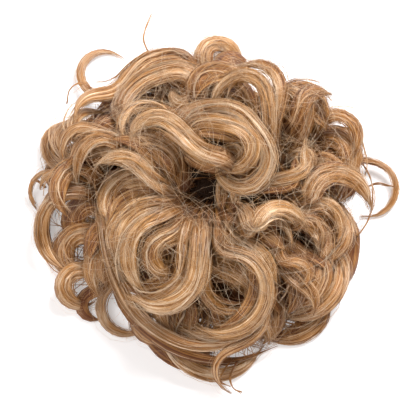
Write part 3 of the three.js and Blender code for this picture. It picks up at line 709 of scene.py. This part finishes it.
def remap(tree, value, start=0, end=1, first=0, last=1):
    """A value that goes from first to last as another goes from start to end."""
    sockets = {"Value": value, "From Min": start, "From Max": end, "To Min": first, "To Max": last}
    return add_node(tree, "MapRange", sockets).outputs["Result"]


# %% Build the colour group
def hair_colour_group():
    """From how pale a hair is, its colour and gloss."""
    inputs = dict.fromkeys(("Palest", "Middle", "Darkest"), "Color")
    inputs |= {"Painted root shade": "Float", "Shift": "Float"}
    outputs = {"Colour": "Color", "Roughness": "Float"}
    group, given, out = shader_group("hair_colour", inputs, outputs)
    uv = add_node(group, "UVMap", uv_map="Hair").outputs["UV"]
    split = add_node(group, "SeparateXYZ", {0: uv}).outputs
    # Slow patches of lighter and darker colour along each hair.
    patches = add_node(group, "TexNoise", {"Scale": 9, "Detail": 2, "Vector": uv}).outputs["Fac"]
    lift = calculate(group, "SUBTRACT", calculate(group, "ADD", split["X"], given["Shift"]), 0.25)
    tone = calculate(group, "MULTIPLY_ADD", patches, 0.5, lift)
    # Below a half the tone runs from the darkest colour to the middle one, and above it on to the palest.
    dark = mix(group, remap(group, tone, end=0.5), given["Darkest"], given["Middle"])
    pale = mix(group, remap(group, tone, start=0.5), dark, given["Palest"])
    # The first part of each hair is darker: painted shade at the roots, which lie low among the other locks.
    near_root = remap(group, split["Y"], end=0.38, first=1, last=0)
    shade = calculate(group, "MULTIPLY", near_root, given["Painted root shade"])
    group.links.new(mix(group, shade, pale, given["Darkest"]), out["Colour"])
    group.links.new(remap(group, tone, first=0.5, last=0.22), out["Roughness"])
    return group


# %% Build the streak group
def hair_streaks_group():
    """Streaks that run along a body as hairs do: broad wisps with fine hairs in them."""
    inputs, outputs = dict.fromkeys(("Wisps", "Hairs"), "Float"), dict.fromkeys(("Shift", "Height"), "Float")
    group, given, out = shader_group("hair_streaks", inputs, outputs)
    maps = [add_node(group, "UVMap", uv_map=layer).outputs["UV"] for layer in ("Streak", "Hair")]
    across, lengthwise = (add_node(group, "SeparateXYZ", {0: uv}).outputs for uv in maps)
    sockets = {"X": across["X"], "Y": across["Y"], "Z": lengthwise["Y"]}
    place = add_node(group, "CombineXYZ", sockets).outputs[0]
    parts = []
    for socket, scale, detail in (("Wisps", 0.9, 1), ("Hairs", 4.2, 2)):
        sockets = {"Scale": scale, "Detail": detail, "Vector": place}
        noise = add_node(group, "TexNoise", sockets).outputs["Fac"]
        parts.append(calculate(group, "MULTIPLY", calculate(group, "SUBTRACT", noise, 0.5), given[socket]))
    both = calculate(group, "ADD", *parts)
    group.links.new(both, out["Shift"])
    group.links.new(both, out["Height"])
    return group


HAIR_COLOUR = hair_colour_group()
HAIR_STREAKS = hair_streaks_group()
print("Groups:", HAIR_COLOUR.name, HAIR_STREAKS.name)


# %% Mix the materials
def hair_material(name, palest, middle, darkest, painted_root_shade, gloss, streaked=False):
    material, tree, shader = new_material(name)
    shader["Specular IOR Level"].default_value = gloss
    colours = {"Palest": (*palest, 1), "Middle": (*middle, 1), "Darkest": (*darkest, 1)}
    sockets = {**colours, "Painted root shade": painted_root_shade}
    if streaked:
        streaks = add_node(tree, "Group", {"Wisps": 1.3, "Hairs": 2.2}, node_tree=HAIR_STREAKS).outputs
        sockets["Shift"] = streaks["Shift"]
        bump = add_node(tree, "Bump", {"Strength": 0.6, "Distance": 0.0004, "Height": streaks["Height"]})
        tree.links.new(bump.outputs["Normal"], shader["Normal"])
    look = add_node(tree, "Group", sockets, node_tree=HAIR_COLOUR).outputs
    tree.links.new(look["Colour"], shader["Base Color"])
    tree.links.new(look["Roughness"], shader["Roughness"])
    return material


TINTS = {
    "outer_curls": ((0.78, 0.615, 0.445), (0.43, 0.198, 0.05), (0.11, 0.025, 0.003), 0.85, 0.45),
    "middle_curls": ((0.76, 0.60, 0.435), (0.41, 0.186, 0.046), (0.10, 0.023, 0.003), 0.85, 0.45),
    "crown_curls": ((0.81, 0.66, 0.49), (0.46, 0.225, 0.063), (0.11, 0.028, 0.004), 0.8, 0.5),
    # The core and the wrap are painted dark brown: painted shade, as they lie deep under the curls.
    "gathered_core": ((0.19, 0.085, 0.036), (0.08, 0.034, 0.013), (0.017, 0.007, 0.003), 0.5, 0.1),
}
MATERIALS, BODIES = {}, {}
for node, tints in TINTS.items():
    label = node.replace("_", " ")
    MATERIALS[node] = hair_material(label + " hair", *tints)
    BODIES[node] = hair_material(label + " body", *tints, streaked=True)
print("Materials:", ", ".join(m.name for m in MATERIALS.values()))

# %% [markdown]
# ## The curls
#
# Each row of locks stands for one solid. Its hairs become one mesh, and the bodies that they lie on
# another, because the bodies have streaks in their material. Loose locks, thinner and darker, fill the gaps
# between the locks of a row; their darker colour is painted shade, as they lie under the row's own locks.
# Hairs alone would do without bodies, but it would take many more to hide what is under them.

# %% Dress the rows
DENSITY = {"outer_curls": 0.42, "middle_curls": 0.7, "crown_curls": 0.54}
HIDDEN_DENSITY = 0.2
for row, locks in laid.items():
    tress, bodies = Tress(), Tress()
    for lock in locks:
        # Fills lie under the other locks and are painted darker, as painted shade. Every lock's tone also
        # differs at random.
        hidden = lock["name"].endswith("fill")
        shade = random.normal(-0.12 if hidden else -0.02, 0.07)
        body(bodies, lock, shade - 0.04)
        fill(tress, lock, HIDDEN_DENSITY if hidden else DENSITY[row], shade, inmost=0.75)
        stray(tress, lock)
        if not is_open(lock["name"]):
            wander(tress, lock)
        # Loose locks are painted darker still, as painted shade under the row's own locks.
        for loose in [entry for entry in under_hair[row] if entry["name"][:-2] == lock["name"]]:
            if loose["name"].endswith("0"):
                body(bodies, loose, -0.3, sides=12)
            fill(tress, loose, HIDDEN_DENSITY, -0.22, stretch=1.6)
    tress.build(f"{row}_hair_1", row, MATERIALS[row])
    bodies.build(f"{row}_bodies", row, BODIES[row])

# %% [markdown]
# ## Frizz
#
# What makes hair look like hair is what doesn't obey: fine single hairs that cross the gaps between the
# locks, and a few that stand clear of the outline. The first kind lies on the pile at random. The second is
# placed one by one, after those in the photograph. Two more kinds are low and mostly dark, as painted shade:
# hairs that run out over the core's rim, under the locks, and roots that run down into the hole.

# %% Lay fine hairs across the locks
FRIZZ_HAIR = 0.00008
FRIZZ_REACH = 0.074
FRIZZ_LENGTHS = (0.02, 0.055)
FRIZZ_BENDS = (18, 60)  # radians a metre
OUTLINE = 0.086


def frizz(tress, hairs, points=12):
    """Fine hairs that lie across the locks, wherever they fell."""
    far = FRIZZ_REACH * np.sqrt(random.uniform(0.12, 1, hairs))
    bearing = random.uniform(0, 2 * np.pi, hairs)
    x, y = far * np.cos(bearing), far * np.sin(bearing)
    heading = random.uniform(0, 2 * np.pi, hairs)
    bend = random.uniform(*FRIZZ_BENDS, hairs) * random.choice([-1, 1], hairs)
    length = random.uniform(*FRIZZ_LENGTHS, hairs)
    marks = np.linspace(0, 1, points)
    lines = np.zeros((hairs, points, 3))
    for k in range(hairs):
        turn = heading[k] + bend[k] * length[k] * marks
        step = length[k] / (points - 1)
        lines[k, :, 0] = x[k] + np.cumsum(np.cos(turn)) * step
        lines[k, :, 1] = y[k] + np.cumsum(np.sin(turn)) * step
        outside = np.hypot(lines[k, :, 0], lines[k, :, 1]) > OUTLINE
        ground = pile.at(lines[k, :, :2])
        height = np.array([ground[max(i - 2, 0):i + 3].max() for i in range(points)])
        height = np.convolve(np.pad(height, 2, mode="edge"), np.ones(5) / 5, mode="valid")
        lines[k, :, 2] = height + 0.0008 + random.uniform(0, 0.0015) * np.sin(np.pi * marks)
        if outside.any():  # such a hair is drawn short instead of leaving the outline
            lines[k] = lines[k, 0] + (lines[k] - lines[k, 0]) * 0.3
    tress.add(lines, FRIZZ_HAIR * (1 - 0.5 * marks), tones(0.72, 0.2, hairs))


# %% Lay low hairs under the locks
BEARINGS = 72
RIM_TOP = 0.0098  # where the hairs begin, over the core's rim


def under_layer(tress, hairs, begin, far, ends, radius, tone, spread=20, lean=0.5, points=7):
    """Low hairs that run outwards over the core's rim and close the gaps between the locks.

    spread is how far they stray from the lower edge of the picture, in radians, and 20 is all round.
    lean is how far a hair turns round the band at most.
    """
    bearing = lambda x, y: np.floor(np.arctan2(y, x) / (2 * np.pi) * BEARINGS).astype(int) % BEARINGS
    edge_at = np.zeros(BEARINGS)
    for lock in laid["outer_curls"]:
        if not is_open(lock["name"]):
            x, y = lock["line"].T
            np.maximum.at(edge_at, bearing(x, y), np.hypot(x, y))
    marks = np.linspace(0, 1, points)
    turn = spread * random.standard_normal((hairs, 1)) - np.pi / 2
    turn = turn + random.uniform(-lean, lean, (hairs, 1)) * marks**1.2
    tips = turn[:, points // 2:]
    limit = (edge_at[bearing(np.cos(tips), np.sin(tips))] - 0.001).min(axis=1)[:, None]
    end = np.maximum(np.minimum(random.uniform(*far, (hairs, 1)), limit), begin + 0.006)
    reach = begin + (end - begin) * marks + wave(marks, hairs, 0.0012)
    height = RIM_TOP + (random.uniform(*ends, (hairs, 1)) - RIM_TOP) * marks**1.3
    lines = np.stack([reach * np.cos(turn), reach * np.sin(turn), height], axis=2)
    tress.add(lines, radius * (1 - 0.85 * marks**2), tones(tone, 0.12, hairs))


# %% Let a few hairs stand clear
FLYAWAY_HAIR = 0.0003
# height in metres, then the points that a hair goes through, in shares of REACH
FLYAWAYS = [
    (0.014, [(-0.35, 0.78), (-0.39, 0.85), (-0.415, 0.916), (-0.406, 0.99), (-0.37, 1.09)]),
    (0.014, [(-0.58, 0.63), (-0.565, 0.69), (-0.524, 0.735), (-0.476, 0.765), (-0.418, 0.782)]),
    (0.010, [(0.9, 0.02), (0.98, 0.04), (1.04, 0.03), (1.09, 0.03)]),
    (0.012, [(0.882, 0.188), (0.935, 0.08), (0.953, -0.053), (0.924, -0.186), (0.853, -0.288)]),
    (0.008, [(0.12, -1.0), (0.06, -1.08), (0.04, -1.14), (0.1, -1.17)]),
    (0.008, [(0.14, -1.02), (0.1, -1.12), (0.12, -1.18), (0.17, -1.2)]),
    (0.010, [(-1.0, 0.02), (-1.06, 0.06), (-1.09, 0.0), (-1.06, -0.08)]),
    (0.010, [(-0.72, 0.62), (-0.8, 0.66), (-0.86, 0.62), (-0.88, 0.54)]),
]


def flyaways(tress, copies=4, points=20):
    """Each flyaway as a few hairs that lie close together."""
    for height, guides in FLYAWAYS:
        guides = np.array(guides) * REACH
        for _ in range(copies):
            moved = guides + random.normal(0, 0.0003, guides.shape)
            line = spaced(smooth_curve(moved), points - 1)
            marks = np.linspace(0, 1, points)
            heights = height + 0.003 * np.sin(np.pi * marks) + random.normal(0, 0.0003)
            lines = np.column_stack([line, heights])[None]
            tress.add(lines, FLYAWAY_HAIR * (1 - 0.35 * marks), [random.uniform(0.3, 0.5)])


# %% Let roots run into the hole
ROOT_HAIR = 0.0002


def root_tails(tress, lock, hairs=11, points=7):
    """Hairs that run from a crown lock's root inwards and down into the hole, dark as painted shade there."""
    centre, right, _, half_wide, _, _ = frame_along(lock, 40)
    marks = np.linspace(0, 1, points)
    shift = random.uniform(-1, 1, (hairs, 1)) * half_wide[2] * (1 - 0.5 * marks)
    begin = centre[3] + right[3] * shift[:, :, None]
    inward = -centre[0, :2] / np.linalg.norm(centre[0, :2])
    far = random.uniform(0.009, 0.0145, (hairs, 1)) * marks
    lines = np.array(np.broadcast_to(begin, (hairs, points, 3)))
    lines[:, :, :2] += inward * far[:, :, None]
    lines[:, :, 2] += 0.0015 * np.sin(np.pi * marks) - random.uniform(0.004, 0.009, (hairs, 1)) * marks**2
    tress.add(lines, ROOT_HAIR * (1 - 0.4 * marks), tones(0.12, 0.12, hairs))


# %% Lay all of the loose hairs
tress = Tress()
frizz(tress, 420)
for lock in laid["crown_curls"]:
    root_tails(tress, lock)
tress.build("crown_frizz", "crown_curls", MATERIALS["crown_curls"])
tress = Tress()
frizz(tress, 400)
tress.build("middle_frizz", "middle_curls", MATERIALS["middle_curls"])
tress = Tress()
flyaways(tress)
# The first and the last kind here lie near the darkest tone: painted shade in the gaps under the locks.
under_layer(tress, 340, 0.051, (0.064, 0.084), (0.0015, 0.006), 0.00055, 0.1)
under_layer(tress, 260, 0.053, (0.058, 0.066), (0.0008, 0.004), 0.0004, 0.4, lean=1.4)
under_layer(tress, 270, 0.058, (0.080, 0.096), (0.003, 0.008), 0.00045, 0.4, spread=0.7)
under_layer(tress, 110, 0.055, (0.066, 0.078), (0.003, 0.007), 0.0006, 0.12, spread=0.8)
tress.build("outer_flyaways", "outer_curls", MATERIALS["outer_curls"])

# %% [markdown]
# ## The core and the wrap
#
# Under the curls, the roots of all the hair run outwards from the band, over a low hollow dome, and more of
# them are wound round the band as a short sleeve. From above they show only as a dark layer between the
# locks, and from below they are all there is. So coarser hairs do for them, laid side by side on a closed
# body, and their dark brown is painted shade, as they lie deep under the curls.

# %% Comb hairs along a turned outline
CORE_HAIR = 0.00042
SKIN = 0.0006  # how deep a body lies in its solid, and how far out hairs lie on it
BAND_HEIGHT = 0.008


def comb_ring(tress, outline, hairs, points, swirl, looseness, tone):
    """Hairs side by side round the Z axis that all follow an outline, a list of (radius, height)."""
    profile = spaced(np.array(outline), points - 1)
    marks = np.linspace(0, 1, points)
    start = np.arange(hairs) * 2 * np.pi / hairs + random.uniform(-0.02, 0.02, hairs)
    lean = random.uniform(*swirl, hairs)
    turn = start[:, None] + lean[:, None] * marks + wave(marks, hairs, 0.02)
    radius = profile[:, 0] + wave(marks, hairs, 0.0004)
    height = np.maximum(profile[:, 1] + random.uniform(*looseness, (hairs, 1)), CORE_HAIR + 0.0001)
    height = np.broadcast_to(height, radius.shape)
    lines = np.stack([radius * np.cos(turn), radius * np.sin(turn), height], axis=2)
    tress.add(lines, CORE_HAIR, tones(tone, 0.2, hairs))


def turned_body(name, node, outline, sides=96):
    """A closed ring about the Z axis under the combed hairs, from its closed outline of (radius, height)."""
    outline = np.array(outline)
    count = len(outline)
    turn = np.arange(sides) * 2 * np.pi / sides
    x, y = outline[:, 0] * np.cos(turn)[:, None], outline[:, 0] * np.sin(turn)[:, None]
    verts = np.stack([x, y, np.broadcast_to(outline[:, 1], x.shape)], axis=2).reshape(-1, 3) + MIDDLE
    faces = []
    for side in range(sides):
        here, there = side * count, (side + 1) % sides * count
        for i in range(count):
            after = (i + 1) % count
            faces.append((here + i, there + i, there + after, here + after))
    mesh = bpy.data.meshes.new(name)
    mesh.from_pydata(verts.tolist(), [], faces)
    streak, bake, look = (mesh.uv_layers.new(name=layer) for layer in ("Streak", "OFBake", "Hair"))
    for face in mesh.polygons:
        side = face.index // count
        for loop, (across, along_it) in zip(face.loop_indices, ((0, 0), (1, 0), (1, 1), (0, 1))):
            share = (face.index % count + along_it) / count
            streak.data[loop].uv = (1.5 * (side + across), share)
            bake.data[loop].uv = ((side + across) / sides, share)
            look.data[loop].uv = (0.4, 0.3 + 0.7 * share)
    settle(name, mesh, node, BODIES["gathered_core"])
    print(f"{name}: {2 * len(faces)} triangles")


# %% Comb the core
(base_row, base_step), (middle_row, middle_step), (crown_row, crown_step) = ROWS.values()
WRAP = BAND_RADIUS + BAND_THICK / 2 + GAP + SHELL
over = [(WRAP + 2 * GAP, crown_step + 0.0003)]
for radius, step in reversed(list(ROWS.values())):
    over += [(radius - edge, step + SKIN)] * (step < crown_step) + [(radius + edge, step + 0.0004)]
over += [(base_row + edge + 0.0004, base_step - 0.001), (base_row + edge + 0.0004, SKIN)]
below = [
    (WRAP + 2 * GAP, crown_step - SKIN),
    (WRAP + 2 * GAP, crown_step - SHELL - 0.0004),
    (middle_row - edge - SHELL / 2, middle_step - SHELL),
    (middle_row + edge - SHELL / 2, middle_step - SHELL),
    (base_row - edge - SHELL / 2, base_step - SHELL),
    (base_row + edge - SHELL, base_step - SHELL),
    (base_row + edge - SHELL, SKIN),
    (base_row + edge, SKIN),
]
turned_body("gathered_core_body", "gathered_core", [
    (WRAP + 2 * GAP, crown_step - SHELL + 0.0002), *[(r, z + SKIN) for r, z in below[2:6]],
    (base_row + edge - SHELL + SKIN, 0.0012), (base_row + edge - 0.0004, 0.0012),
    (base_row + edge - 0.0004, base_step - 0.0008), (base_row - edge, base_step - SKIN),
    (middle_row + edge, middle_step - SKIN), (middle_row - edge, middle_step - SKIN),
    (crown_row + edge, crown_step - SKIN), (WRAP + 2 * GAP, crown_step - SKIN),
])
tress = Tress()
comb_ring(tress, over, 320, 14, (0.1, 0.5), (-0.0003, 0.0010), 0.5)
comb_ring(tress, below, 220, 14, (-0.4, -0.1), (-0.0002, 0.0003), 0.45)
tress.build("gathered_core_hair", "gathered_core", MATERIALS["gathered_core"])

# %% Wind the wrap
groove = BAND_THICK / 2 + GAP
hole = [(BAND_RADIUS, 0.0115), (BAND_RADIUS, crown_step - 0.001), (BAND_RADIUS + 0.001, crown_step)]
foot = [(BAND_RADIUS, 0.0048), (BAND_RADIUS, SKIN), (WRAP - SKIN, SKIN), (WRAP - 0.0002, 0.002)]
outside = [(WRAP - 0.0002, crown_step), (WRAP - 0.0002, 0.001)]
top = [(BAND_RADIUS + SKIN, crown_step - 0.0002), (WRAP - 0.0003, crown_step - 0.0002)]
turned_body("root_wrap_body", "root_wrap", [
    (BAND_RADIUS + 0.0004, 0.001), (WRAP - SKIN, 0.001), (WRAP - SKIN, crown_step - SKIN),
    (BAND_RADIUS + 0.0004, crown_step - SKIN), (BAND_RADIUS + 0.0004, BAND_HEIGHT + groove),
    (BAND_RADIUS + groove, BAND_HEIGHT + groove), (BAND_RADIUS + groove, BAND_HEIGHT - groove),
    (BAND_RADIUS + 0.0004, BAND_HEIGHT - groove),
])
tress = Tress()
comb_ring(tress, hole, 110, 9, (0.3, 0.9), (-0.0002, 0.0002), 0.35)
comb_ring(tress, foot, 110, 8, (0.1, 0.3), (-0.0001, 0.0003), 0.4)
comb_ring(tress, outside, 130, 9, (0.3, 0.9), (-0.0004, 0.0), 0.4)
comb_ring(tress, top, 110, 4, (0.1, 0.3), (-0.0001, 0.0003), 0.4)
# Short hairs cross the hole just under the crown, where the roots mat together. Their near black is
# painted shade deep in the hole.
mat_hairs = 220
marks = np.linspace(0, 1, 8)
start_turn = random.uniform(0, 2 * np.pi, (mat_hairs, 1))
end_turn = start_turn + np.pi + random.uniform(-1.1, 1.1, (mat_hairs, 1))
reach = BAND_RADIUS + 0.001
x = reach * (np.cos(start_turn) * (1 - marks) + np.cos(end_turn) * marks) + wave(marks, mat_hairs, 0.0008)
y = reach * (np.sin(start_turn) * (1 - marks) + np.sin(end_turn) * marks) + wave(marks, mat_hairs, 0.0008)
z = np.broadcast_to(random.uniform(0.0265, 0.0288, (mat_hairs, 1)), x.shape)
tress.add(np.stack([x, y, z], axis=2), CORE_HAIR, np.full(mat_hairs, 0.02))
tress.build("root_wrap_hair", "root_wrap", MATERIALS["gathered_core"])

# %% [markdown]
# ## The band
#
# The elastic is a plain dark cord of rubber in a woven sleeve. It is deep in the hair, so the solid stays and
# gets a fine woven bump.

# %% Cover the band
def elastic_material():
    material, tree, shader = new_material("elastic")
    place = add_node(tree, "TexCoord").outputs["Object"]
    weave = add_node(tree, "TexWave", {"Scale": 900, "Distortion": 1.5, "Vector": place}).outputs["Fac"]
    ramp = add_node(tree, "ValToRGB", {"Fac": weave})
    ramp.color_ramp.elements[0].color = (0.035, 0.022, 0.014, 1)
    ramp.color_ramp.elements[1].color = (0.10, 0.065, 0.04, 1)
    tree.links.new(ramp.outputs["Color"], shader["Base Color"])
    bump = add_node(tree, "Bump", {"Strength": 0.4, "Distance": 0.0003, "Height": weave})
    tree.links.new(bump.outputs["Normal"], shader["Normal"])
    shader["Roughness"].default_value = 0.7
    return material


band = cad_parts["elastic_band"]
band.data.materials.clear()
band.data.materials.append(elastic_material())
print("The band has", len(band.data.polygons), "faces")

# %% [markdown]
# ## Light, floor and camera
#
# The photograph was taken from nearly straight above, on white, with soft light from the top right. A soft
# lamp high up gives the pale tops and the weak shadow at the lower left. A second lamp and a dim warm sky
# fill the rest, and the floor shines a little so that it stays white. The camera stands a metre off with a
# long lens, as nothing in the photograph shows a strong perspective.

# %% Set the stage
def area_light(name, place, size, power):
    """A square lamp that shines on the hairpiece."""
    lamp = put(name, bpy.data.lights.new(name, "AREA"))
    lamp.data.size = size
    lamp.data.energy = power
    lamp.location = place
    lamp.rotation_mode = "QUATERNION"
    lamp.rotation_quaternion = Vector(np.array([0, 0, 0.02]) - np.array(place)).to_track_quat("-Z", "Y")


floor_mesh = bpy.data.meshes.new("floor")
floor_mesh.from_pydata([(-3, -3, 0), (3, -3, 0), (3, 3, 0), (-3, 3, 0)], [], [(0, 1, 2, 3)])
floor = put("floor", floor_mesh)
floor_material, _, shader = new_material("white table")
shader["Base Color"].default_value = (0.72, 0.71, 0.73, 1)
shader["Emission Color"].default_value = (1, 1, 1, 1)
shader["Emission Strength"].default_value = 0.35
shader["Roughness"].default_value = 0.8
floor_mesh.materials.append(floor_material)

area_light("key light", (0.35, 0.55, 0.8), 0.4, 19.5)
area_light("fill light", (-0.5, -0.3, 0.9), 0.8, 8)
world = bpy.data.worlds.new("studio")
world.use_nodes = True
sky = world.node_tree.nodes["Background"].inputs
sky["Color"].default_value = (1, 0.84, 0.69, 1)
sky["Strength"].default_value = 0.26
bpy.context.scene.world = world

# %% Show plain colours
bpy.context.scene.view_settings.view_transform = "Standard"

# %% Place the camera
ELEVATION = math.radians(78)
DISTANCE = 1.0
PICTURE_WIDE = 0.2  # what the photograph shows at the hairpiece, in metres
AIM = np.array([-0.0065, -0.0077, 0.025])  # from the band's middle on the table
camera = put("camera", bpy.data.cameras.new("camera"))
camera.data.lens = camera.data.sensor_width * DISTANCE / PICTURE_WIDE
target = MIDDLE + AIM
camera.location = target + DISTANCE * np.array([0, -math.cos(ELEVATION), math.sin(ELEVATION)])
camera.rotation_euler = (math.pi / 2 - ELEVATION, 0, 0)
bpy.context.scene.camera = camera
print("Camera at", [round(v, 3) for v in camera.location], "lens", round(camera.data.lens, 1))
